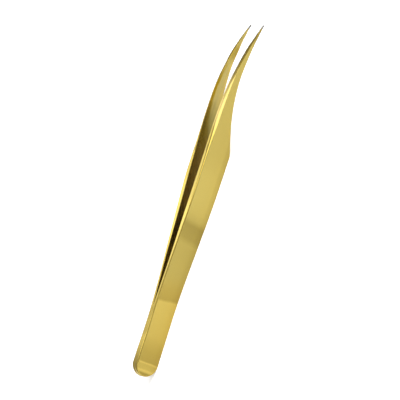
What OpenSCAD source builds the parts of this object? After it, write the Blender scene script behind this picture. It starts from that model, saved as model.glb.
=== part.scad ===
// Stamp tongs with curved, pointed blades.
// Two mirrored spring arms lie face to face at the heel, where spot welds hold them, and
// stand apart towards their points.
// X runs from the heel to the points, Y is the way the blades open and close, Z is up.
// The tongs rest on the straight lower edges of both arms, in the plane z = 0. The origin
// is on that plane, halfway along the tongs and midway between the arms.

/* [Outline of an arm, seen from the side] */
// Length from the heel to the points
length = 120; // [114:1:126]
// Height of an arm at the heel, which is also the diameter of its round end
heel_h = 7.55; // [7:0.05:8]
// Greatest height of an arm
crown_h = 8.95; // [8.6:0.05:9.3]
// Length of the stretch over which the upper edge sweeps down to the point
sweep_l = 36; // [34:0.5:37]
// Radius of that sweep
sweep_r = 105; // [104:1:110]
// Distance from the points back to the shoulder on the lower edge
shoulder_l = 44.6; // [43.4:0.2:45.4]
// Radius that rounds the shoulder
shoulder_r = 6; // [3:0.5:8]
// Distance from the points back to the highest place of the scooped lower edge
scoop_l = 18.3; // [17.5:0.1:18.5]
// Height of that highest place above the rest plane
scoop_h = 5.1; // [4.9:0.05:5.2]
// Radius of the scoop
scoop_r = 60; // [58:0.5:61]

/* [Opening and thickness, seen from above] */
// Gap between the two points at rest
point_gap = 7.6; // [6:0.1:9]
// Thickness of an arm at the heel
heel_t = 1.25; // [1.15:0.05:1.4]
// Thickness of an arm where it is thinned to act as a spring
spring_t = 1.0; // [0.7:0.05:1.1]
// Thickness of an arm where the fingers press
grip_t = 1.9; // [1.6:0.05:2.1]
// Thickness of a point at its very end
point_t = 0.35; // [0.3:0.05:0.6]

/* [Ground faces] */
// Length of the shallow ramp ground on the outer face at the heel
ramp_l = 4.4; // [3:0.1:6]
// Length of the steeper bevel at the very end of that ramp
bevel_l = 2.3; // [1.5:0.1:2.6]
// Depth of the flat ground along the upper outer edge, where it cuts deepest
flat_depth = 0.95; // [0.5:0.05:1.2]
// Slope of that flat towards the points, in degrees
flat_slope = 1.1; // [0.8:0.1:1.4]

/* [Spot welds and flexure] */
// Number of spot welds along the heel
weld_count = 3; // [2:1:3]
// Radius of a weld nugget
weld_r = 1.5; // [1:0.1:2]
// Depth that a nugget reaches into each arm
weld_depth = 0.4; // [0.3:0.05:0.6]
// Distance from the heel to the line that an arm flexes about
flex_x = 34; // [32:0.5:36]
// Width of the parting slit at that line
flex_slit = 0.1; // [0.06:0.02:0.2]

/* [Hidden] */
gold = [0.80, 0.70, 0.33];
steel = [0.55, 0.54, 0.52];
arc_steps = 24;
curve_steps = 6;
margin = 1;

heel_r = heel_h / 2;
heel_c = [heel_r, heel_r];
sweep_c = [length - sweep_l, crown_h - sweep_r];
scoop_c = [length - scoop_l, scoop_h - scoop_r];
shoulder_x = length - shoulder_l;

// Half of the gap along an arm: [share of the length, share of the half gap at the point]
opening = [
    [0.17, 0], [0.205, 0.06], [0.24, 0.15], [0.27, 0.22], [0.30, 0.295], [0.35, 0.385],
    [0.40, 0.445], [0.48, 0.535], [0.55, 0.625], [0.65, 0.755], [0.75, 0.84], [0.85, 0.93],
    [0.94, 0.985], [1, 1]
];
// Thickness of an arm: [share of the length, thickness]
thickness = [
    [0.17, heel_t], [0.24, spring_t], [0.31, spring_t], [0.40, 0.76 * grip_t],
    [0.50, 0.98 * grip_t], [0.60, grip_t], [0.75, 0.91 * grip_t], [0.86, 0.74 * grip_t],
    [0.95, 0.55 * grip_t], [1, point_t]
];
weld_x = [for (i = [0:weld_count - 1]) 6.5 + i * 11 / (weld_count - 1)];

// Points of an arc about c, from angle a to angle b
function arc(c, r, a, b, steps = arc_steps) =
    [for (i = [0:steps]) let (t = a + (b - a) * i / steps) c + r * [cos(t), sin(t)]];

// Direction, from the centre c, of the place where a line from p touches the circle
function touch_angle(p, c, r) =
    let (d = p - c) atan2(d[1], d[0]) - acos(r / norm(d));

// Slope of a smooth curve through a table's points at the point with number i
function slope(table, i) =
    let (a = max(i - 1, 0), b = min(i + 1, len(table) - 1))
    (table[b][1] - table[a][1]) / (table[b][0] - table[a][0]);

// Value of that curve a share u of the way from point i to the next one
function between(table, i, u) =
    let (d = table[i + 1][0] - table[i][0])
    (1 + 2 * u) * pow(1 - u, 2) * table[i][1] + pow(u, 2) * (3 - 2 * u) * table[i + 1][1]
    + d * u * pow(1 - u, 2) * (i == 0 ? 0 : slope(table, i))
    + d * pow(u, 2) * (u - 1) * slope(table, i + 1);

// Value of the smooth curve at any share of the length that the table covers
function smooth(table, x) =
    let (i = max([for (k = [0:len(table) - 2]) if (table[k][0] <= x) k]))
    between(table, i, (x - table[i][0]) / (table[i + 1][0] - table[i][0]));

// Shares of the length at which the arm's two faces are worked out
faces_x = [
    for (i = [0:len(opening) - 2], k = [0:curve_steps - 1])
        opening[i][0] + (opening[i + 1][0] - opening[i][0]) * k / curve_steps,
    1
];

function inner_y(x) = point_gap / 2 * smooth(opening, x);
function outer_y(x) = inner_y(x) + smooth(thickness, x);

// Shape of an arm in the plane of its faces
module arm_outline() {
    rise = touch_angle([shoulder_x, 0], scoop_c, scoop_r);
    crest = touch_angle([heel_r, heel_h], sweep_c, sweep_r);
    shoulder_c = [shoulder_x - shoulder_r * tan((90 - rise) / -2), shoulder_r];
    polygon(concat(
        arc(heel_c, heel_r, 90, 270),
        arc(shoulder_c, shoulder_r, -90, rise - 180),
        arc(scoop_c, scoop_r, rise, acos(scoop_l / scoop_r)),
        arc(sweep_c, sweep_r, acos(sweep_l / sweep_r), crest)
    ));
}

// Shape of an arm along its length, from its inner face at the parting plane outwards
module arm_profile() {
    polygon(concat(
        [[0, 0]],
        [for (x = faces_x) [x * length, inner_y(x)]],
        [for (i = [len(faces_x) - 1:-1:0]) [faces_x[i] * length, outer_y(faces_x[i])]],
        [[ramp_l, heel_t], [bevel_l, 0.88 * heel_t], [0, 0.55 * heel_t]]
    ));
}

// The flat ground along the upper outer edge, as the block of metal that it takes away
module edge_flat() {
    crown_x = length - sweep_l;
    translate([crown_x, outer_y(crown_x / length) - flat_depth, crown_h])
        rotate([-45, flat_slope, 0])
            translate([-length, -length, 0])
                cube([2 * length, 2 * length, length]);
}

// One whole arm on the +Y side, with its heel at x = 0
module arm() {
    difference() {
        intersection() {
            translate([0, crown_h, 0]) rotate([90, 0, 0])
                linear_extrude(2 * crown_h) arm_outline();
            translate([0, 0, -margin]) linear_extrude(crown_h + 2 * margin) arm_profile();
        }
        edge_flat();
        weld_nuggets(weld_depth);
    }
}

// Weld nuggets that reach the given depth into the arms on each side of the parting plane
module weld_nuggets(depth) {
    for (x = weld_x)
        translate([x, depth, heel_r]) rotate([90, 0, 0])
            cylinder(r = weld_r, h = 2 * depth, $fn = 48);
}

// Keeps what lies between two distances from the heel, and moves it to the part's origin
module stretch(from_x, to_x) {
    translate([-length / 2, 0, 0])
        intersection() {
            children();
            translate([from_x, -crown_h, -margin])
                cube([to_x - from_x, 2 * crown_h, crown_h + 2 * margin]);
        }
}

// Welded rear end of an arm, up to the line that it flexes about
module arm_heel() {
    color(gold) stretch(-margin, flex_x - flex_slit / 2) arm();
}

// Free front of an arm: the grip, the blade and its point
module arm_blade() {
    color(gold) stretch(flex_x + flex_slit / 2, length + margin) arm();
}

module left_arm_heel() {
    arm_heel();
}

module left_arm_blade() {
    arm_blade();
}

module right_arm_heel() {
    mirror([0, 1, 0]) arm_heel();
}

module right_arm_blade() {
    mirror([0, 1, 0]) arm_blade();
}

module spot_welds() {
    color(steel) translate([-length / 2, 0, 0]) weld_nuggets(weld_depth);
}

right_arm_heel();
right_arm_blade();
left_arm_heel();
left_arm_blade();
spot_welds();
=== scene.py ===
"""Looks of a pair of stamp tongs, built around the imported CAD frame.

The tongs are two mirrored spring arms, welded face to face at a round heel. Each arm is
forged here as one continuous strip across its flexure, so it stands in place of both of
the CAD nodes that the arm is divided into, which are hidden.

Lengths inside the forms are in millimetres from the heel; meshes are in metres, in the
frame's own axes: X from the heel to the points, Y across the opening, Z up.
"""

import logging
import math
from collections.abc import Callable
from dataclasses import dataclass, field
from enum import Enum

import bmesh
import bpy
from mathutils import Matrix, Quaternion, Vector


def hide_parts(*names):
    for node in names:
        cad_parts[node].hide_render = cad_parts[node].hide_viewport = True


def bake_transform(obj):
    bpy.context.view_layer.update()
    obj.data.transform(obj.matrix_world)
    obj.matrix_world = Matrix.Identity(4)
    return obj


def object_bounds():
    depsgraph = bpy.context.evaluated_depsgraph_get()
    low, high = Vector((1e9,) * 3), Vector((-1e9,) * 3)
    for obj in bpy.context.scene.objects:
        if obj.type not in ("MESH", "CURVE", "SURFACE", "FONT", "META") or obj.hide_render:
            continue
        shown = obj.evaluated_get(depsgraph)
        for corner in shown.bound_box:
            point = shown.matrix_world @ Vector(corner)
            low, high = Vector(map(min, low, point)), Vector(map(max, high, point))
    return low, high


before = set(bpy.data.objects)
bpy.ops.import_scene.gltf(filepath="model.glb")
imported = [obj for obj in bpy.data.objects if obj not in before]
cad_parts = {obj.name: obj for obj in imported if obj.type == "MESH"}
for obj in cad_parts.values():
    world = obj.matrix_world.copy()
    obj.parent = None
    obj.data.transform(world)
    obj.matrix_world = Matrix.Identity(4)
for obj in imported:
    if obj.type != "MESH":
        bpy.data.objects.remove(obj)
CAD_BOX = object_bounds()

MM = 0.001
NEAR = 1e-7
log = logging.getLogger("stamp_tongs")

Pair = tuple[float, float]
Triple = tuple[float, float, float]
Table = tuple[Pair, ...]
Socket = bpy.types.NodeSocket

# The span, in millimetres of Y, in which an effect changes from the right arm to the left.
MIDWAY: Pair = (-1.0, 1.0)


class Side(Enum):
    """Which arm a piece belongs to, by the sign of its Y."""

    RIGHT = -1
    LEFT = 1


class Finish(Enum):
    """How a face of an arm is finished, by the number of its material on the arm."""

    POLISHED = 0
    GROUND = 1


# --------------------------------------------------------------------------- helpers


def slope(table: Table, i: int) -> float:
    """Slope of a smooth curve through a table's points, at one of them.

    Args:
        table: Pairs of place and value, in order of place.
        i: Number of the point.

    Returns:
        The slope between the point's two neighbours.
    """
    a, b = max(i - 1, 0), min(i + 1, len(table) - 1)
    return (table[b][1] - table[a][1]) / (table[b][0] - table[a][0])


def smooth(table: Table, x: float) -> float:
    """Value of a smooth curve through a table's points.

    Args:
        table: Pairs of place and value, in order of place.
        x: Where the value is wanted; places outside the table take its end value.

    Returns:
        The curve's value at x.
    """
    if x <= table[0][0]:
        return table[0][1]
    if x >= table[-1][0]:
        return table[-1][1]
    i = max(k for k in range(len(table) - 1) if table[k][0] <= x)
    d = table[i + 1][0] - table[i][0]
    u = (x - table[i][0]) / d
    start = 0.0 if i == 0 else slope(table, i)
    return (
        (1 + 2 * u) * (1 - u) ** 2 * table[i][1]
        + u**2 * (3 - 2 * u) * table[i + 1][1]
        + d * u * (1 - u) ** 2 * start
        + d * u**2 * (u - 1) * slope(table, i + 1)
    )


def deselect_all() -> None:
    """Leaves nothing selected, so that an operator acts on the new piece alone."""
    bpy.ops.object.select_all(action="DESELECT")


def edit(obj: bpy.types.Object) -> None:
    """Puts one object alone in edit mode.

    Args:
        obj: The object to edit.
    """
    deselect_all()
    bpy.context.view_layer.objects.active = obj
    obj.select_set(True)
    bpy.ops.object.mode_set(mode="EDIT")


def select_edges(obj: bpy.types.Object, wanted: Callable[[Vector, Vector], bool]) -> None:
    """Selects the edges that a test picks out, in edit mode.

    Args:
        obj: The object in edit mode.
        wanted: A test of an edge's two end points, which says whether to take it.
    """
    bpy.ops.mesh.select_mode(type="EDGE")
    bpy.ops.mesh.select_all(action="DESELECT")
    mesh = bmesh.from_edit_mesh(obj.data)
    for e in mesh.edges:
        if wanted(e.verts[0].co, e.verts[1].co):
            e.select_set(True)
    bmesh.update_edit_mesh(obj.data)


def select_faces(obj: bpy.types.Object, wanted: Callable[[bmesh.types.BMFace], bool]) -> None:
    """Selects the faces that a test picks out, in edit mode.

    Args:
        obj: The object in edit mode.
        wanted: A test of a face, which says whether to take it.
    """
    bpy.ops.mesh.select_mode(type="FACE")
    bpy.ops.mesh.select_all(action="DESELECT")
    mesh = bmesh.from_edit_mesh(obj.data)
    for f in mesh.faces:
        if wanted(f):
            f.select_set(True)
    bmesh.update_edit_mesh(obj.data)


class Nodes:
    """Short ways to lay out a node tree."""

    def __init__(self, tree: bpy.types.NodeTree) -> None:
        """Works on one tree.

        Args:
            tree: A material's, a world's or a group's tree.
        """
        self.tree = tree

    def add(self, kind: str, **settings: str | int | bool) -> bpy.types.Node:
        """Adds a node.

        Args:
            kind: The node's type, without its ShaderNode prefix.
            **settings: Properties to set on it.

        Returns:
            The new node.
        """
        node = self.tree.nodes.new(f"ShaderNode{kind}")
        for name, value in settings.items():
            setattr(node, name, value)
        return node

    def put(self, socket: Socket, value: object) -> None:
        """Feeds an input.

        Args:
            socket: The input.
            value: An output to link it to, or a plain value.
        """
        if isinstance(value, Socket):
            self.tree.links.new(value, socket)
        else:
            socket.default_value = value

    def math(self, operation: str, a: object, b: object = 0.0) -> Socket:
        """Works out one sum.

        Args:
            operation: The sum's kind, such as ADD or MULTIPLY.
            a: Its first value, an output or a number.
            b: Its second value.

        Returns:
            The result.
        """
        node = self.add("Math", operation=operation)
        self.put(node.inputs[0], a)
        self.put(node.inputs[1], b)
        return node.outputs[0]

    def times(self, a: object, b: object) -> Socket:
        """Multiplies two values and returns the result."""
        return self.math("MULTIPLY", a, b)

    def ease(self, value: object, span: Pair, low: object, high: object) -> Socket:
        """Goes smoothly from low to high as a value crosses a span.

        Args:
            value: The value.
            span: Where the span starts and ends.
            low: The result before the span.
            high: The result after it.

        Returns:
            The result.
        """
        node = self.add("MapRange", interpolation_type="SMOOTHSTEP")
        self.put(node.inputs["Value"], value)
        self.put(node.inputs["From Min"], span[0])
        self.put(node.inputs["From Max"], span[1])
        self.put(node.inputs["To Min"], low)
        self.put(node.inputs["To Max"], high)
        return node.outputs["Result"]

    def zone(self, along: object, span: Pair, low: object, high: object) -> Socket:
        """Eases from low to high across a span given in millimetres."""
        return self.ease(along, (span[0] * MM, span[1] * MM), low, high)

    def mix(self, factor: object, a: object, b: object, blend: str = "MIX") -> Socket:
        """Mixes two colours.

        Args:
            factor: How much of the second colour to take, from 0 to 1.
            a: The first colour.
            b: The second colour.
            blend: How the second is laid on the first.

        Returns:
            The mixed colour.
        """
        node = self.add("Mix", data_type="RGBA", blend_type=blend)
        self.put(node.inputs["Factor"], factor)
        self.put(node.inputs["A"], a)
        self.put(node.inputs["B"], b)
        return node.outputs["Result"]

    def tint(self, factor: object, color: object, tint: Triple) -> Socket:
        """Multiplies a colour by a tint, as far as a factor says."""
        return self.mix(factor, color, (*tint, 1), "MULTIPLY")

    def place(self) -> Socket:
        """The place on the piece, in its own axes and in metres."""
        return self.add("TexCoord").outputs["Object"]

    def axes(self, vector: Socket) -> bpy.types.NodeOutputs:
        """Splits a vector.

        Args:
            vector: The vector.

        Returns:
            Its X, Y and Z, by name.
        """
        node = self.add("SeparateXYZ")
        self.put(node.inputs[0], vector)
        return node.outputs

    def along(self) -> Socket:
        """The distance from the heel, in metres."""
        return self.math("SUBTRACT", self.axes(self.place())["X"], CAD_BOX[0].x)

    def noise(self, vector: object, scale: object, detail: float, rough: float = 0.5) -> Socket:
        """Smooth noise, the same on each run.

        Args:
            vector: The place.
            scale: How many bumps there are in a metre.
            detail: How many finer layers are added.
            rough: How strong each finer layer is.

        Returns:
            The noise, between 0 and 1.
        """
        node = self.add("TexNoise")
        self.put(node.inputs["Vector"], vector)
        self.put(node.inputs["Scale"], scale)
        self.put(node.inputs["Detail"], detail)
        self.put(node.inputs["Roughness"], rough)
        return node.outputs["Fac"]

    def ragged(self, value: Socket, scale: float, detail: float, amount: object) -> Socket:
        """Adds noise to a value, to make an edge drawn from it uneven.

        Args:
            value: The value.
            scale: How many bumps there are in a metre.
            detail: How many finer layers are added.
            amount: How far the noise swings the value.

        Returns:
            The uneven value.
        """
        swing = self.math("SUBTRACT", self.noise(self.place(), scale, detail), 0.5)
        return self.math("ADD", value, self.times(swing, amount))

    def curve(self, value: object, points: Table, length: float) -> Socket:
        """Reads a value off straight lines between a few points.

        Args:
            value: Share of the length, from 0 to 1.
            points: Pairs of place and value, in order of place.
            length: The place that stands for a share of 1.

        Returns:
            The value at that place.
        """
        node = self.add("ValToRGB")
        self.put(node.inputs[0], value)
        stops = node.color_ramp.elements
        for i, (place, grey) in enumerate(points):
            stop = stops[i] if i < len(stops) else stops.new(place / length)
            stop.position = place / length
            stop.color = (grey, grey, grey, 1)
        return self.axes(node.outputs["Color"])["X"]


# --------------------------------------------------------------------------- effects


def new_group(name: str, inputs: dict[str, float], outputs: tuple[str, ...]) -> Nodes:
    """Starts a shader node group with named number inputs and outputs.

    Args:
        name: The group's name.
        inputs: Each input's name and its usual value.
        outputs: Each output's name.

    Returns:
        The group's tree, with its input and output nodes laid.
    """
    group = bpy.data.node_groups.new(name, "ShaderNodeTree")
    for word, usual in inputs.items():
        socket = group.interface.new_socket(
            name=word, in_out="INPUT", socket_type="NodeSocketFloat"
        )
        socket.default_value = usual
    for word in outputs:
        group.interface.new_socket(name=word, in_out="OUTPUT", socket_type="NodeSocketFloat")
    nodes = Nodes(group)
    group.nodes.new("NodeGroupInput")
    group.nodes.new("NodeGroupOutput")
    return nodes


def ends(nodes: Nodes) -> tuple[bpy.types.NodeOutputs, bpy.types.NodeInputs]:
    """The sockets that a group takes in and gives out, seen from inside it.

    Args:
        nodes: The group's tree.

    Returns:
        What it is given, then what it puts out.
    """
    return nodes.tree.nodes["Group Input"].outputs, nodes.tree.nodes["Group Output"].inputs


@dataclass(frozen=True)
class Effects:
    """The effects that the finishes share, each a node group.

    In millimetres, spans named in, out, turn and thin are distances from the heel, those
    named from_tip are distances from the point, and those named height are heights. The others
    are spans of a share, of how squarely a face looks sideways or of noise. The band table
    pairs distances from the heel with the strength of the painted reflection there, and the
    lower-edge pair holds the painted shade before and after its span along the arm.
    """

    length: float = (CAD_BOX[1].x - CAD_BOX[0].x) / MM
    # Painted reflections: brighter and darker stretches of the broad faces along the arm, with
    # painted highlights at the heel's creases.
    painted_reflection_bands: Table = (
        (0.0, 0.7), (1.25, 0.74), (1.5, 1.5), (1.8, 1.45), (2.05, 1.1), (3.8, 1.04),
        (4.0, 1.38), (4.2, 1.38), (4.35, 0.84), (8.0, 0.9), (13.7, 1.13), (25.4, 1.25),
        (26.1, 0.88), (32.5, 0.98), (43.0, 0.96), (44.0, 0.97), (46.0, 0.77), (50.2, 0.72),
        (52.0, 0.97), (54.4, 1.08), (59.0, 1.14), (66.0, 1.12), (74.0, 1.02), (120.0, 0.99),
    )
    coarseness: float = 0.25
    slant: float = 0.11
    slant_in: Pair = (10, 24)
    slant_turn: Pair = (30, 50)
    # Painted shade near the lower edge of the broad faces.
    lower_edge_shade: Pair = (0.975, 0.93)
    lower_edge_shade_in: Pair = (48, 62)
    foot_height: Pair = (1.65, 2.05)
    toe_height: Pair = (0.1, 0.9)
    broad_facing: Pair = (0.8, 0.95)
    warm_out: Pair = (28, 36)
    patchy: Pair = (0.35, 0.65)
    patch_least: float = 0.6
    # Where the edges' painted highlight is whiter.
    painted_highlight_in: Pair = (79, 87)
    painted_highlight_out: Pair = (98, 105)
    # Painted shade on the inner faces, across the gap: an amber band under the upper edge, a
    # darker patch near the points, a bluer shade further back and a grey one between.
    amber_in: Pair = (78, 96)
    amber_out: Pair = (98, 108)
    amber_left: float = 0.15
    amber_thin: Pair = (86, 96)
    amber_thinned: float = 0.6
    amber_fade: Pair = (0.5, 1.0)
    point_patch_shade: float = 0.55
    point_patch_shade_in: Pair = (104.5, 109)
    point_patch_shade_out: Pair = (110.5, 113)
    back_shade_in: Pair = (35, 50)
    back_shade_out: Pair = (74, 82)
    middle_shade_out: Pair = (86, 95)
    # Painted shade at the right arm's point.
    shaded_edge_from_tip: Pair = (10, 18)
    shaded_point_from_tip: Pair = (4, 9)
    bare_fade: Pair = (0.5, 1.3)

    def grain(self) -> bpy.types.NodeTree:
        """Fine scratches along the arm, left by the grinding belt.

        Returns:
            The group's tree.
        """
        nodes = new_group("grain", {"Fineness": 6000, "Stretch": 0.03}, ("Height", "Cloud"))
        given, out = ends(nodes)
        stretch = nodes.add("CombineXYZ")
        nodes.put(stretch.inputs["X"], given["Stretch"])
        nodes.put(stretch.inputs["Y"], 1.0)
        nodes.put(stretch.inputs["Z"], 1.0)
        drawn = nodes.add("VectorMath", operation="MULTIPLY")
        nodes.put(drawn.inputs[0], nodes.place())
        nodes.put(drawn.inputs[1], stretch.outputs[0])
        fine, coarse = given["Fineness"], nodes.times(given["Fineness"], self.coarseness)
        drawn = drawn.outputs[0]
        nodes.put(out["Height"], nodes.noise(drawn, fine, detail=4.0, rough=0.6))
        nodes.put(out["Cloud"], nodes.noise(drawn, coarse, detail=3.0, rough=0.55))
        return nodes.tree

    def painted_reflection_and_warmth(self) -> bpy.types.NodeTree:
        """Painted reflections and shade on the broad faces along the arm, and their warmth.

        Brighter and darker stretches along the length, with painted highlights at the heel's
        creases, stand in for what the faces reflect; the faces are darker near their lower
        edge, a painted shade, and warmer near the heel.

        Returns:
            The group's tree.
        """
        nodes = new_group("painted_reflection_and_warmth", {"Amount": 1.0, "Waver": 0.3}, ("Painted Light", "Warmth"))
        given, out = ends(nodes)
        place = nodes.axes(nodes.place())
        along = nodes.along()
        lean = nodes.times(
            nodes.zone(along, self.slant_in, 0.0, self.slant),
            nodes.zone(along, self.slant_turn, 1.0, -1.0),
        )
        along = nodes.math("ADD", along, nodes.times(place["Z"], lean))
        waver = nodes.times(given["Waver"], MM)
        along = nodes.ragged(along, scale=400.0, detail=1.0, amount=waver)
        share = nodes.math("DIVIDE", along, self.length * MM)
        # Painted reflections along the arm, then painted shade near the lower edge.
        painted_light = nodes.curve(share, self.painted_reflection_bands, self.length)
        lower_edge_shade = nodes.zone(along, self.lower_edge_shade_in, *self.lower_edge_shade)
        for height in (self.foot_height, self.toe_height):
            painted_light = nodes.times(painted_light, nodes.zone(place["Z"], height, lower_edge_shade, 1.0))
        facing = nodes.axes(nodes.add("NewGeometry").outputs["Normal"])
        facing = nodes.math("ABSOLUTE", facing["Y"])
        broad = nodes.times(nodes.ease(facing, self.broad_facing, 0.0, 1.0), given["Amount"])
        change = nodes.times(nodes.math("SUBTRACT", painted_light, 1.0), broad)
        nodes.put(out["Painted Light"], nodes.math("ADD", change, 1.0))
        nodes.put(out["Warmth"], nodes.zone(along, self.warm_out, 1.0, 0.0))
        return nodes.tree

    def edge_wear_and_highlight(self) -> bpy.types.NodeTree:
        """Where the rounded edges are worn bright by handling and carry a painted highlight,
        and where that painted highlight is whiter.

        Returns:
            The group's tree.
        """
        nodes = new_group("edge_wear_and_highlight", {"Amount": 0.95, "Patch": 300.0}, ("Mask", "Keen"))
        given, out = ends(nodes)
        edge = nodes.add("Attribute", attribute_name="edge").outputs["Fac"]
        patch = nodes.noise(nodes.place(), given["Patch"], detail=3.0)
        mask = nodes.times(edge, nodes.ease(patch, self.patchy, self.patch_least, 1.0))
        nodes.put(out["Mask"], nodes.times(mask, given["Amount"]))
        along = nodes.along()
        keen = nodes.zone(along, self.painted_highlight_in, 0.0, 1.0)
        nodes.put(out["Keen"], nodes.times(keen, nodes.zone(along, self.painted_highlight_out, 1.0, 0.0)))
        return nodes.tree

    def painted_gap_shade(self) -> bpy.types.NodeTree:
        """Where painted shade darkens the inner faces, across the gap between the arms.

        An amber band of painted shade lies under the blades' upper edge, with a darker patch
        near the points; a bluer painted shade lies further back, and a grey one between the
        two.

        Returns:
            The group's tree.
        """
        nodes = new_group("painted_gap_shade", {"Depth": 1.9, "Ragged": 0.5}, ("Rim Shade", "Back Shade", "Middle Shade"))
        given, out = ends(nodes)
        along = nodes.along()
        thin = nodes.zone(along, self.amber_thin, 1.0, self.amber_thinned)
        down = nodes.add("Attribute", attribute_name="down").outputs["Fac"]
        down = nodes.ragged(down, scale=500.0, detail=2.0, amount=given["Ragged"])
        share = nodes.math("DIVIDE", down, nodes.times(given["Depth"], thin))
        rim = nodes.times(
            nodes.zone(along, self.amber_in, 0.0, 1.0),
            nodes.zone(along, self.amber_out, 1.0, self.amber_left),
        )
        rim = nodes.times(rim, nodes.ease(share, self.amber_fade, 1.0, 0.0))
        point_patch_shade = nodes.times(
            nodes.zone(along, self.point_patch_shade_in, 0.0, self.point_patch_shade),
            nodes.zone(along, self.point_patch_shade_out, 1.0, 0.0),
        )
        nodes.put(out["Rim Shade"], nodes.math("MAXIMUM", rim, point_patch_shade))
        back_shade = nodes.zone(along, self.back_shade_in, 0.0, 1.0)
        nodes.put(out["Back Shade"], nodes.times(back_shade, nodes.zone(along, self.back_shade_out, 1.0, 0.0)))
        middle_shade = nodes.zone(along, self.back_shade_out, 0.0, 1.0)
        nodes.put(out["Middle Shade"], nodes.times(middle_shade, nodes.zone(along, self.middle_shade_out, 1.0, 0.0)))
        return nodes.tree

    def point_shade(self) -> bpy.types.NodeTree:
        """Where painted shade darkens the right arm's point: its edges first, then the whole
        point.

        Returns:
            The group's tree.
        """
        nodes = new_group("point_shade", {"Amount": 1.0}, ("Mask",))
        given, out = ends(nodes)
        place = nodes.axes(nodes.place())
        left = nodes.math("SUBTRACT", CAD_BOX[1].x, place["X"])
        edge = nodes.add("Attribute", attribute_name="edge").outputs["Fac"]
        edge = nodes.times(edge, nodes.zone(left, self.shaded_edge_from_tip, 1.0, 0.0))
        point = nodes.zone(left, self.shaded_point_from_tip, 1.0, 0.0)
        right = nodes.zone(place["Y"], MIDWAY, given["Amount"], 0.0)
        nodes.put(out["Mask"], nodes.times(nodes.math("MAXIMUM", edge, point), right))
        return nodes.tree

    def bare_point(self) -> bpy.types.NodeTree:
        """Where the plating is worn off the points, further on the left arm.

        Returns:
            The group's tree.
        """
        nodes = new_group(
            "bare_point", {"Right Length": 1.4, "Left Length": 1.8, "Ragged": 0.6}, ("Mask",)
        )
        given, out = ends(nodes)
        place = nodes.axes(nodes.place())
        left = nodes.math("SUBTRACT", CAD_BOX[1].x, place["X"])
        left = nodes.math("DIVIDE", left, MM)
        left = nodes.ragged(left, scale=2500.0, detail=3.0, amount=given["Ragged"])
        worn = nodes.zone(place["Y"], MIDWAY, given["Right Length"], given["Left Length"])
        share = nodes.math("DIVIDE", left, worn)
        nodes.put(out["Mask"], nodes.ease(share, self.bare_fade, 1.0, 0.0))
        return nodes.tree


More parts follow.
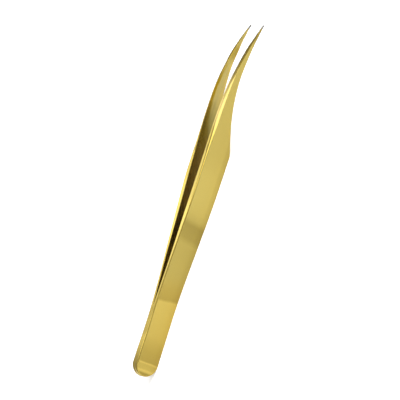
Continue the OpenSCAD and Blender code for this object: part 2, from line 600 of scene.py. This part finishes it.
@dataclass(frozen=True)
class Plating:
    """Gold-coloured plating on steel, with the steel bare at the points.

    Each tint multiplies the colour where its effect lies. The amber, bluer and grey tints are
    painted shade on the inner faces across the gap, and the grey-brown tint is painted shade
    at the right arm's point. The brighter edge colour is partly wear and partly a painted
    highlight, and the whiter edge colour is a painted highlight.
    """

    name: str
    color: Triple = (0.61, 0.478, 0.125)
    soiled: Triple = (0.36, 0.29, 0.11)
    # Brighter edges: partly worn by handling, partly a painted highlight.
    burnish_and_highlight: Triple = (0.74, 0.55, 0.12)
    # A whiter painted highlight on the edges along the blades.
    keen: Triple = (0.72, 0.54, 0.19)
    steel: Triple = (0.24, 0.23, 0.21)
    # How the painted reflections and shade of the broad faces act on red, green and blue.
    painted_light_powers: Triple = (0.92, 1.0, 1.2)
    warm_tint: Triple = (1.02, 0.965, 0.84)
    # Painted shade on the inner faces across the gap.
    amber_shade_tint: Triple = (0.62, 0.52, 0.08)
    back_shade_tint: Triple = (0.82, 0.85, 1.3)
    middle_shade_tint: Triple = (0.64, 0.66, 0.62)
    # Painted shade at the right arm's point.
    point_shade_tint: Triple = (0.64, 0.6, 0.5)
    cloudy: Pair = (0.45, 0.75)
    clouding: float = 0.03
    # How far the inner faces' painted shade is laid on.
    gap_shade_amount: float = 0.0
    roughness: float = 0.13
    grain_roughness: float = 0.05
    bare_roughness: float = 0.3
    scratch: float = 0.04
    scratch_depth: float = 0.01 * MM

    def base(self, nodes: Nodes, used: dict[str, bpy.types.Node]) -> Socket:
        """Lays out the colour, from the plating up to the painted shade at the right arm's
        point.

        Args:
            nodes: The material's tree.
            used: The shared effects in the tree, by name.

        Returns:
            The colour.
        """
        soil = nodes.ease(used["grain"].outputs["Cloud"], self.cloudy, 0.0, self.clouding)
        color = nodes.mix(soil, (*self.color, 1), (*self.soiled, 1))
        # Painted reflections and shade of the broad faces.
        shade = nodes.add("CombineColor")
        painted_light = used["painted_reflection_and_warmth"].outputs["Painted Light"]
        for word, power in zip(("Red", "Green", "Blue"), self.painted_light_powers):
            nodes.put(shade.inputs[word], nodes.math("POWER", painted_light, power))
        color = nodes.mix(1.0, color, shade.outputs[0], "MULTIPLY")
        color = nodes.tint(used["painted_reflection_and_warmth"].outputs["Warmth"], color, self.warm_tint)
        # Edges partly worn and partly a painted highlight, whiter along the blades.
        wear = used["edge_wear_and_highlight"].outputs
        edge_burnish_and_highlight = nodes.mix(wear["Keen"], (*self.burnish_and_highlight, 1), (*self.keen, 1))
        color = nodes.mix(wear["Mask"], color, edge_burnish_and_highlight)
        # Painted shade on the inner faces across the gap.
        tints = (("Rim Shade", self.amber_shade_tint), ("Back Shade", self.back_shade_tint), ("Middle Shade", self.middle_shade_tint))
        for word, tint in tints:
            mask = nodes.times(used["painted_gap_shade"].outputs[word], self.gap_shade_amount)
            color = nodes.tint(mask, color, tint)
        # Painted shade at the right arm's point.
        return nodes.tint(used["point_shade"].outputs["Mask"], color, self.point_shade_tint)

    def material(self, groups: dict[str, bpy.types.NodeTree]) -> bpy.types.Material:
        """Builds the material.

        Args:
            groups: The shared effects, by name.

        Returns:
            The new material.
        """
        mat = bpy.data.materials.new(self.name)
        mat.use_nodes = True
        nodes = Nodes(mat.node_tree)
        used = {word: nodes.add("Group", node_tree=tree) for word, tree in groups.items()}
        bare = used["bare_point"].outputs["Mask"]
        scratches = used["grain"].outputs["Height"]
        color = nodes.mix(bare, self.base(nodes, used), (*self.steel, 1))
        rough = nodes.math("ADD", nodes.times(scratches, self.grain_roughness), self.roughness)
        rough = nodes.math("ADD", rough, nodes.times(bare, self.bare_roughness))
        bump = nodes.add("Bump")
        bump.inputs["Strength"].default_value = self.scratch
        bump.inputs["Distance"].default_value = self.scratch_depth
        nodes.put(bump.inputs["Height"], scratches)
        shader = mat.node_tree.nodes["Principled BSDF"]
        shader.inputs["Metallic"].default_value = 1
        nodes.put(shader.inputs["Base Color"], color)
        nodes.put(shader.inputs["Roughness"], rough)
        nodes.put(shader.inputs["Normal"], bump.outputs["Normal"])
        return mat


@dataclass(frozen=True)
class WeldSteel:
    """Blued steel of the weld nuggets."""

    color: Triple = (0.3, 0.3, 0.31)
    heat: Triple = (0.22, 0.2, 0.25)
    roughness: float = 0.45
    mottling: float = 1500.0

    def material(self) -> bpy.types.Material:
        """Builds the material.

        Returns:
            The new material.
        """
        mat = bpy.data.materials.new("weld_steel")
        mat.use_nodes = True
        nodes = Nodes(mat.node_tree)
        mottled = nodes.noise(nodes.place(), self.mottling, detail=3.0)
        shader = mat.node_tree.nodes["Principled BSDF"]
        shader.inputs["Metallic"].default_value = 1
        shader.inputs["Roughness"].default_value = self.roughness
        color = nodes.mix(mottled, (*self.color, 1), (*self.heat, 1))
        nodes.put(shader.inputs["Base Color"], color)
        return mat


# --------------------------------------------------------------------------- the arms


@dataclass
class ArmForm:
    """Shape of one arm, in millimetres, with its length and height from the CAD's box.

    The lengths sweep_l, shoulder_l and scoop_l run back from the point; ramp_l, bevel_l and
    the flexure's run from the heel. A table pairs shares of the length with millimetres, but
    opening pairs them with shares of half_gap and facet_flat with how flat the facet is, from
    0 to 1. heel_share is how much thickness is left at the rear, at bevel_l and at ramp_l.
    """

    length: float = (CAD_BOX[1].x - CAD_BOX[0].x) / MM
    crown_h: float = (CAD_BOX[1].z - CAD_BOX[0].z) / MM
    heel_h: float = 7.55
    heel_t: float = 1.25
    half_gap: float = 3.8
    sweep_l: float = 36.0
    sweep_r: float = 105.0
    shoulder_l: float = 44.1
    shoulder_r: float = 3.0
    scoop_l: float = 18.3
    scoop_h: float = 5.1
    scoop_r: float = 60.0
    ramp_l: float = 4.4
    bevel_l: float = 2.3
    flex_from: float = 22.0
    flex_to: float = 46.0
    step: float = 0.8
    shoulder_step: float = 0.2
    shoulder_reach: float = 1.6
    point_step: float = 0.4
    point_share: float = 0.9
    least_step: float = 0.05
    swell: Table = ((0.0, 0.2), (0.03, 0.24), (0.055, 0.22), (0.2, 0.0))
    bulge: Table = ((0.0, 0.1), (0.03, 0.2), (0.055, 0.2), (0.11, 0.0))
    heel_share: Triple = (0.55, 0.88, 1.0)
    opening: Table = (
        (0.17, 0.0), (0.205, 0.06), (0.24, 0.15), (0.27, 0.22), (0.30, 0.295), (0.35, 0.385),
        (0.40, 0.445), (0.48, 0.535), (0.55, 0.625), (0.65, 0.755), (0.75, 0.84),
        (0.85, 0.93), (0.94, 0.985), (1.0, 1.0),
    )
    thickness: Table = (
        (0.17, 1.25), (0.24, 1.0), (0.31, 1.0), (0.40, 1.5), (0.45, 1.85), (0.50, 2.05),
        (0.56, 2.0), (0.63, 1.83), (0.75, 1.72), (0.86, 1.406), (0.95, 1.045), (1.0, 0.35),
    )
    facet_h: Table = (
        (0.0, 0.5), (0.52, 0.45), (0.60, 0.5), (0.66, 0.7), (0.70, 0.77), (0.74, 0.75),
        (0.78, 0.71), (0.81, 0.63), (0.84, 0.46), (0.87, 0.36), (0.92, 0.3),
        (0.955, 0.14), (1.0, 0.05),
    )
    facet_w: Table = (
        (0.0, 0.25), (0.44, 0.25), (0.52, 0.4), (0.60, 0.6), (0.66, 0.84), (0.70, 0.91),
        (0.74, 0.88), (0.78, 0.8), (0.81, 0.69), (0.84, 0.51), (0.87, 0.42), (0.92, 0.4),
        (0.955, 0.2), (1.0, 0.08),
    )
    facet_flat: Table = (
        (0.0, 0.5), (0.55, 0.4), (0.61, 0.25), (0.66, 0.5), (0.70, 0.8), (0.75, 0.85),
        (0.82, 0.8), (0.86, 0.7), (1.0, 0.7),
    )
    raised: Table = (
        (0.10, 0.0), (0.16, -0.07), (0.45, -0.07), (0.55, -0.13), (0.68, -0.13),
        (0.75, -0.03), (0.83, 0.24), (0.86, 0.2), (0.93, 0.26), (0.96, 0.12), (1.0, 0.08),
    )
    dropped: Table = (
        (0.64, 0.0), (0.68, -0.2), (0.76, -0.22), (0.84, -0.09), (0.88, 0.06), (0.93, 0.08),
        (0.96, 0.04), (1.0, 0.0),
    )

    @property
    def heel_r(self) -> float:
        """Radius of the round heel."""
        return self.heel_h / 2

    def inner(self, x: float) -> float:
        """Distance of the inner face from the plane midway between the arms."""
        return self.half_gap * smooth(self.opening, x / self.length)

    def outer(self, x: float) -> float:
        """Distance of the outer face from the plane midway between the arms.

        Args:
            x: Distance from the heel.

        Returns:
            The distance, which is less where the heel is ground down.
        """
        tip, ridge, body = self.heel_share
        if x < self.bevel_l:
            share = tip + (ridge - tip) * x / self.bevel_l
        elif x < self.ramp_l:
            share = ridge + (body - ridge) * (x - self.bevel_l) / (self.ramp_l - self.bevel_l)
        else:
            share = body
        swollen = smooth(self.swell, x / self.length)
        return self.inner(x) + share * (smooth(self.thickness, x / self.length) + swollen)

    def upper(self, x: float) -> float:
        """Height of the upper edge: a straight rise, then a long sweep to the point.

        Args:
            x: Distance from the heel.

        Returns:
            The height.
        """
        centre_x, centre_z = self.length - self.sweep_l, self.crown_h - self.sweep_r
        along, down = centre_x - self.heel_r, self.heel_h - centre_z
        reach = math.hypot(along, down)
        turn = math.atan2(down, -along) - math.acos(self.sweep_r / reach)
        touch_x = centre_x + self.sweep_r * math.cos(turn)
        if x < touch_x:
            share = max(0.0, x - self.heel_r) / (touch_x - self.heel_r)
            touch_z = centre_z + self.sweep_r * math.sin(turn)
            height = self.heel_h + (touch_z - self.heel_h) * share
        else:
            height = centre_z + math.sqrt(self.sweep_r**2 - (x - centre_x) ** 2)
        return height + smooth(self.raised, x / self.length)

    def lower(self, x: float) -> float:
        """Height of the lower edge: flat, round the shoulder, up a ramp, along the scoop.

        Args:
            x: Distance from the heel.

        Returns:
            The height.
        """
        shoulder_x = self.length - self.shoulder_l
        scoop_x, scoop_z = self.length - self.scoop_l, self.scoop_h - self.scoop_r
        reach = math.hypot(shoulder_x - scoop_x, -scoop_z)
        turn = math.atan2(-scoop_z, shoulder_x - scoop_x) - math.acos(self.scoop_r / reach)
        touch_x = scoop_x + self.scoop_r * math.cos(turn)
        rise = turn - math.pi / 2
        reach_in = self.shoulder_r * math.tan(rise / 2)
        if x < shoulder_x - reach_in:
            return 0.0
        if x < shoulder_x + reach_in * math.cos(rise):
            return self.shoulder_r - math.sqrt(
                self.shoulder_r**2 - (x - shoulder_x + reach_in) ** 2
            )
        drop = smooth(self.dropped, x / self.length)
        if x < touch_x:
            return (x - shoulder_x) * math.tan(rise) - drop
        return scoop_z + math.sqrt(self.scoop_r**2 - (x - scoop_x) ** 2) - drop

    def stations(self) -> list[float]:
        """Places along the arm at which its shape is worked out.

        Returns:
            The places, from the middle of the round heel to the point.
        """
        shoulder_x = self.length - self.shoulder_l
        places = [self.heel_r]
        while places[-1] < self.length - self.least_step:
            x = places[-1]
            step = self.step
            if abs(x - shoulder_x) < self.shoulder_reach:
                step = self.shoulder_step
            if x > self.point_share * self.length:
                step = self.point_step
            places.append(min(x + step, self.length))
        return places


@dataclass
class LeftForm(ArmForm):
    """The left arm's form: ground a little wider behind its point, which ends in a nib."""

    heel_share: Triple = (0.95, 1.0, 1.0)
    thickness: Table = (
        (0.17, 1.25), (0.24, 1.0), (0.31, 1.0), (0.40, 1.5), (0.50, 1.95), (0.56, 1.95),
        (0.61, 1.75), (0.68, 1.5), (0.75, 1.4), (0.86, 1.2), (0.95, 0.95), (1.0, 0.35),
    )
    facet_w: Table = (
        (0.0, 0.25), (0.54, 0.25), (0.60, 0.45), (0.66, 0.9), (0.72, 1.0), (0.78, 1.0),
        (0.82, 0.9), (0.86, 0.6), (0.90, 0.35), (1.0, 0.08),
    )
    raised: Table = (
        (0.10, 0.0), (0.16, -0.07), (0.42, -0.07), (0.50, -0.02), (0.555, 0.05), (0.62, 0.04),
        (0.73, 0.13), (0.79, 0.37), (0.815, 0.46), (0.84, 0.45), (0.87, 0.33), (0.90, 0.36),
        (0.92, 0.3), (0.95, 0.17), (1.0, 0.08),
    )
    dropped: Table = (
        (0.77, 0.0), (0.82, 0.25), (0.88, 0.28), (0.92, 0.42), (0.95, 0.2), (0.97, 0.16),
        (0.976, 0.0),
    )


@dataclass
class Arm:
    """One whole arm: a strip forged from a bar, rounded at the heel, pressed to its form."""

    side: Side
    form: ArmForm = field(default_factory=ArmForm)
    outer_round: float = 0.35
    under_round: float = 0.12
    inner_round: float = 0.07
    outer_segments: int = 8
    inner_segments: int = 3
    heel_steps: int = 36
    merge_within: float = 0.002
    heel_cuts: tuple[float, ...] = (0.7, 1.4, 2.1, 2.3, 2.5, 3.3, 4.2, 4.4, 4.6)
    round_most: float = 0.42
    inner_round_share: float = 0.3
    facet_most: float = 0.8
    heel_round_share: float = 0.6
    near: float = 0.001
    ground_facing: float = -0.9
    sharp_angle: float = math.radians(30)
    leveling: int = 80

    @property
    def word(self) -> str:
        """The side's name as the CAD nodes spell it."""
        return self.side.name.lower()

    def x(self, along: float) -> float:
        """Distance from the heel in millimetres to the frame's X in metres."""
        return CAD_BOX[0].x + along * MM

    def bar(self) -> bpy.types.Object:
        """Makes the bar: a short block with rounded long edges, drawn out to the point.

        Returns:
            The bar, in edit mode.
        """
        deselect_all()
        f = self.form
        places = f.stations()
        first = places[1] - places[0]
        bpy.ops.mesh.primitive_cube_add(
            size=1,
            location=(self.x(places[0] + first / 2), f.heel_t / 2 * MM, f.heel_r * MM),
            scale=(first * MM, f.heel_t * MM, f.heel_h * MM),
        )
        obj = bpy.context.active_object
        obj.name = f"{self.word}_arm"
        bpy.ops.object.transform_apply(location=True, rotation=False, scale=True)
        edit(obj)
        half_t = f.heel_t / 2 * MM
        edges = (
            (True, self.outer_round, self.outer_segments),
            (False, self.inner_round, self.inner_segments),
        )
        for outer, width, segments in edges:
            select_edges(
                obj,
                lambda a, b: abs(a.y - b.y) + abs(a.z - b.z) < NEAR
                and (a.y > half_t) == outer
                and min(a.z, f.heel_h * MM - a.z) < NEAR,
            )
            bpy.ops.mesh.bevel(
                offset=width * MM, offset_type="OFFSET", segments=segments, profile=0.5,
                affect="EDGES",
            )
        front = self.x(places[1])
        select_faces(obj, lambda face: all(v.co.x > front - NEAR for v in face.verts))
        for a, b in zip(places[1:], places[2:]):
            bpy.ops.mesh.extrude_region_move(
                TRANSFORM_OT_translate={"value": ((b - a) * MM, 0, 0)}
            )
        return obj

    def round_heel(self, obj: bpy.types.Object) -> None:
        """Sweeps the upper half of the bar's rear outline round to its lower half.

        Args:
            obj: The bar, in edit mode.
        """
        f = self.form
        rear, middle = self.x(f.heel_r), f.heel_r * MM
        bpy.ops.mesh.select_all(action="SELECT")
        bpy.ops.mesh.bisect(plane_co=(0, 0, middle), plane_no=(0, 0, 1))
        select_faces(obj, lambda face: all(abs(v.co.x - rear) < NEAR for v in face.verts))
        bpy.ops.mesh.delete(type="ONLY_FACE")
        select_edges(
            obj,
            lambda a, b: abs(a.x - rear) < NEAR and abs(b.x - rear) < NEAR
            and min(a.z, b.z) > middle - NEAR and max(a.z, b.z) > middle + NEAR,
        )
        bpy.ops.mesh.spin(
            steps=self.heel_steps, angle=math.pi, center=(rear, 0, middle), axis=(0, 1, 0)
        )
        bpy.ops.mesh.select_all(action="SELECT")
        bpy.ops.mesh.remove_doubles(threshold=self.merge_within * MM)
        bpy.ops.mesh.delete_loose(use_verts=True, use_edges=True, use_faces=False)
        bpy.ops.mesh.normals_make_consistent(inside=False)
        for at in self.heel_cuts:
            bpy.ops.mesh.select_all(action="SELECT")
            bpy.ops.mesh.bisect(plane_co=(self.x(at), 0, 0), plane_no=(1, 0, 0))

    def grind(self, back: float, down: float, flat: float) -> tuple[float, float]:
        """Moves a point of the rounded outer edge towards the flat ground across it.

        Args:
            back: Distance of the point from the bar's outer face.
            down: Distance of the point from the bar's upper or lower edge.
            flat: How far the rounding is ground to a flat, from 0 to 1.

        Returns:
            The point's new distances, back and down.
        """
        r = self.outer_round
        if back >= r or down >= r:
            return back, down
        turn = math.atan2(1 - back / r, 1 - down / r) / (math.pi / 2)
        return back + (r * (1 - turn) - back) * flat, down + (r * turn - down) * flat

    def press(self, obj: bpy.types.Object) -> None:
        """Presses the bar to the arm's form, keeping each rounded edge at its own size.

        Args:
            obj: The bar, out of edit mode, on the +Y side.
        """
        f = self.form
        middle = f.heel_h / 2
        marks = {
            word: obj.data.attributes.new(word, "FLOAT", "POINT").data
            for word in ("edge", "down")
        }
        for v in obj.data.vertices:
            x = (v.co.x - CAD_BOX[0].x) / MM
            y, z = v.co.y / MM, v.co.z / MM
            low, high = f.lower(x), f.upper(x)
            inner, outer = f.inner(x), f.outer(x)
            share = x / f.length
            limit = self.round_most * min(high - low, outer - inner)
            at_heel = x < f.heel_r - self.near
            rim = min(z, f.heel_h - z)
            if at_heel:
                rim = f.heel_r - math.hypot(x - f.heel_r, z - middle)
            on_flat = rim > self.outer_round - self.near
            marks["edge"][v.index].value = 0.0 if on_flat else 1.0
            over = z > middle + self.near
            under = z < middle - self.near
            outside = y > f.heel_t - self.outer_round - self.near
            edge = self.outer_round if outside else self.inner_round
            wide = tall = min(self.inner_round, self.inner_round_share * limit)
            back, down = f.heel_t - y, f.heel_h - z if over else z
            if outside:
                wide = tall = min(self.outer_round if over else self.under_round, limit)
            if outside and over and not at_heel:
                back, down = self.grind(back, down, smooth(f.facet_flat, share))
                tall = min(smooth(f.facet_h, share), self.facet_most * (high - low))
                wide = min(smooth(f.facet_w, share), self.facet_most * (outer - inner))
            if at_heel:
                wide = self.heel_round_share * edge
            if outside:
                v.co.y = (outer - back * wide / edge) * MM
            elif y < self.inner_round + self.near:
                v.co.y = (inner + y * wide / edge) * MM
            if not at_heel and over:
                v.co.z = (high - down * tall / edge) * MM
            elif not at_heel and under:
                v.co.z = (low + down * tall / edge) * MM
            elif not at_heel:
                v.co.z = (low + high) / 2 * MM
            height = v.co.z / MM
            v.co.z += smooth(f.bulge, share) * height / f.heel_h * MM
            marks["down"][v.index].value = high - height
        obj.data.update()

    def build(self, finishes: list[bpy.types.Material]) -> bpy.types.Object:
        """Makes the finished arm.

        Args:
            finishes: The materials, in the order of Finish.

        Returns:
            The new arm, in place.
        """
        obj = self.bar()
        self.round_heel(obj)
        bpy.ops.object.mode_set(mode="OBJECT")
        self.press(obj)
        for mat in finishes:
            obj.data.materials.append(mat)
        for face in obj.data.polygons:
            ground = face.normal.y < self.ground_facing
            face.material_index = (Finish.GROUND if ground else Finish.POLISHED).value
        if self.side is Side.RIGHT:
            edit(obj)
            bpy.ops.mesh.select_all(action="SELECT")
            bpy.ops.transform.mirror(
                constraint_axis=(False, True, False), center_override=(0, 0, 0)
            )
            bpy.ops.mesh.flip_normals()
            bpy.ops.object.mode_set(mode="OBJECT")
        deselect_all()
        obj.select_set(True)
        bpy.context.view_layer.objects.active = obj
        bpy.ops.object.shade_smooth_by_angle(angle=self.sharp_angle)
        level = obj.modifiers.new("level_faces", "WEIGHTED_NORMAL")
        level.keep_sharp = True
        level.weight = self.leveling
        bpy.ops.object.modifier_apply(modifier=level.name)
        return obj

    def fit(self, obj: bpy.types.Object) -> None:
        """Hides the arm's CAD nodes, so that the arm stands in their place, and bakes its
        placement into the mesh.

        Args:
            obj: The finished arm.
        """
        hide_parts(f"{self.word}_arm_heel", f"{self.word}_arm_blade")
        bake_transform(obj)


# --------------------------------------------------------------------------- studio


@dataclass(frozen=True)
class Softbox:
    """A soft rectangular light that points at the tongs and isn't seen itself, in metres."""

    name: str
    toward: Triple
    distance: float
    size: Pair
    radiance: float

    def build(self) -> bpy.types.Object:
        """Adds the light.

        Returns:
            The new light.
        """
        data = bpy.data.lights.new(self.name, "AREA")
        data.shape = "RECTANGLE"
        data.size, data.size_y = self.size
        data.energy = self.radiance * math.pi * self.size[0] * self.size[1]
        light = bpy.data.objects.new(self.name, data)
        bpy.context.scene.collection.objects.link(light)
        away = Vector(self.toward).normalized()
        light.location = away * self.distance
        light.rotation_mode = "QUATERNION"
        light.rotation_quaternion = away.to_track_quat("Z", "Y")
        light.visible_camera = False
        return light


@dataclass(frozen=True)
class BackPanel:
    """A glowing panel behind the tongs, which the upper edges reflect, in metres.

    glow pairs distances from the panel's left side with strengths.
    """

    back: float = 0.45
    left: float = -0.25
    right: float = 0.35
    low: float = 0.12
    high: float = 0.36
    glow: Table = (
        (0.0, 0.35), (0.20, 0.4), (0.24, 0.5), (0.255, 0.75), (0.265, 1.08), (0.275, 1.28),
        (0.282, 1.5), (0.29, 1.95), (0.302, 2.1), (0.3065, 1.1), (0.3145, 0.8), (0.3205, 1.65),
        (0.326, 1.45), (0.331, 0.75), (0.335, 0.85), (0.34, 1.2), (0.352, 1.55), (0.365, 1.6),
        (0.38, 1.4), (0.40, 1.05), (0.43, 0.9), (0.445, 0.6), (0.46, 0.3), (0.6, 0.27),
    )

    def build(self) -> bpy.types.Object:
        """Adds the panel.

        Returns:
            The new panel.
        """
        deselect_all()
        width, height = self.right - self.left, self.high - self.low
        bpy.ops.mesh.primitive_plane_add(size=1)
        panel = bpy.context.active_object
        panel.name = "back_panel"
        panel.scale = (width, height, 1)
        panel.rotation_euler = (math.pi / 2, 0, 0)
        panel.location = (self.left + width / 2, self.back, self.low + height / 2)
        bpy.ops.object.transform_apply(location=True, rotation=True, scale=True)
        mat = bpy.data.materials.new("back_panel")
        mat.use_nodes = True
        nodes = Nodes(mat.node_tree)
        along = nodes.math("SUBTRACT", nodes.axes(nodes.place())["X"], self.left)
        glow = nodes.curve(nodes.math("DIVIDE", along, width), self.glow, width)
        shine = nodes.add("Emission")
        nodes.put(shine.inputs["Strength"], glow)
        out = mat.node_tree.nodes["Material Output"]
        nodes.put(out.inputs["Surface"], shine.outputs[0])
        panel.data.materials.append(mat)
        panel.visible_camera = False
        return panel


@dataclass
class Studio:
    """Floor, light and camera around the tongs, in metres and degrees.

    The spans above, front and beyond say how far a direction has to turn upwards, to the near
    side or past the points, as a share of all the way, for the surroundings to grow brighter.
    """

    azimuth: float = -7.94
    elevation: float = 29.8
    roll: float = -68.35
    distance: float = 2.0
    view_width: float = 0.1289
    target: Triple = (0.00004, 0.0, 0.00305)
    sensor: float = 36.0
    clip: Pair = (0.01, 20.0)
    floor_size: float = 6.0
    floor_color: Triple = (0.9, 0.9, 0.9)
    floor_roughness: float = 0.9
    floor_lift: float = 0.45
    above: Pair = (0.35, 0.7)
    above_light: Pair = (0.4, 0.5)
    front: Pair = (0.3, 0.9)
    front_light: float = 0.05
    beyond: Pair = (0.6, 0.85)
    beyond_light: float = 0.9
    softboxes: tuple[Softbox, ...] = (
        Softbox("key", (0.26, -0.71, 0.65), 1.0, (0.27, 1.5), 1.55),
        Softbox("side_fill", (0.92, -0.2, 0.36), 1.2, (0.8, 0.8), 9.5),
    )

    def camera(self) -> bpy.types.Object:
        """Adds the camera at the viewing angle.

        Returns:
            The new camera.
        """
        a, e = math.radians(self.azimuth), math.radians(self.elevation)
        back = Vector((math.sin(a) * math.cos(e), -math.cos(a) * math.cos(e), math.sin(e)))
        data = bpy.data.cameras.new("camera")
        data.sensor_width = self.sensor
        data.lens = self.sensor * self.distance / self.view_width
        data.clip_start, data.clip_end = self.clip
        cam = bpy.data.objects.new("camera", data)
        bpy.context.scene.collection.objects.link(cam)
        cam.location = Vector(self.target) + back * self.distance
        cam.rotation_mode = "QUATERNION"
        upright = back.to_track_quat("Z", "Y")
        cam.rotation_quaternion = upright @ Quaternion((0, 0, 1), math.radians(self.roll))
        bpy.context.scene.camera = cam
        return cam

    def floor(self) -> bpy.types.Object:
        """Adds the plain pale floor.

        Returns:
            The new floor.
        """
        deselect_all()
        bpy.ops.mesh.primitive_plane_add(size=self.floor_size, location=(0, 0, 0))
        floor = bpy.context.active_object
        floor.name = "floor"
        mat = bpy.data.materials.new("floor_paint")
        mat.use_nodes = True
        shader = mat.node_tree.nodes["Principled BSDF"]
        shader.inputs["Base Color"].default_value = (*self.floor_color, 1)
        shader.inputs["Roughness"].default_value = self.floor_roughness
        shader.inputs["Emission Color"].default_value = (1, 1, 1, 1)
        nodes = Nodes(mat.node_tree)
        seen = nodes.add("LightPath").outputs["Is Camera Ray"]
        nodes.put(shader.inputs["Emission Strength"], nodes.times(seen, self.floor_lift))
        floor.data.materials.append(mat)
        return floor

    def surroundings(self) -> None:
        """Lights the air around, more from above, from in front and from past the points."""
        world = bpy.data.worlds.new("surroundings")
        bpy.context.scene.world = world
        world.use_nodes = True
        nodes = Nodes(world.node_tree)
        way = nodes.axes(nodes.add("TexCoord").outputs["Generated"])
        front = nodes.times(way["Y"], -1.0)
        light = nodes.math(
            "ADD",
            nodes.ease(way["Z"], self.above, *self.above_light),
            nodes.ease(front, self.front, 0.0, self.front_light),
        )
        beyond = nodes.ease(way["X"], self.beyond, 0.0, self.beyond_light)
        light = nodes.math("ADD", light, beyond)
        seen = nodes.add("LightPath").outputs["Is Camera Ray"]
        background = world.node_tree.nodes["Background"]
        nodes.put(background.inputs["Color"], nodes.mix(seen, light, (1, 1, 1, 1)))

    def build(self) -> None:
        """Sets up the whole studio."""
        self.floor()
        self.surroundings()
        BackPanel().build()
        for softbox in self.softboxes:
            softbox.build()
        self.camera()
        bpy.context.scene.view_settings.view_transform = "Standard"


def main() -> None:
    """Builds the pieces in order and reports each."""
    logging.basicConfig(level=logging.INFO, format="%(name)s: %(message)s")
    effects = Effects()
    groups = {
        "grain": effects.grain(),
        "painted_reflection_and_warmth": effects.painted_reflection_and_warmth(),
        "edge_wear_and_highlight": effects.edge_wear_and_highlight(),
        "painted_gap_shade": effects.painted_gap_shade(),
        "point_shade": effects.point_shade(),
        "bare_point": effects.bare_point(),
    }
    polished = Plating("polished_plating").material(groups)
    # The ground finish carries the inner faces' painted shade.
    ground = Plating(
        "ground_plating", color=(0.59, 0.485, 0.17), keen=(0.7, 0.52, 0.14), roughness=0.2,
        grain_roughness=0.1, scratch=0.3, clouding=0.5, gap_shade_amount=1.0,
    ).material(groups)
    for side, form in ((Side.RIGHT, ArmForm()), (Side.LEFT, LeftForm())):
        arm = Arm(side, form)
        obj = arm.build([polished, ground])
        arm.fit(obj)
        log.info("%s: %d faces", obj.name, len(obj.data.polygons))
    weld = WeldSteel().material()
    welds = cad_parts["spot_welds"]
    for slot in welds.material_slots:
        slot.material = weld
    log.info("%s: %d faces", welds.name, len(welds.data.polygons))
    Studio().build()


if __name__ == "__main__":
    main()
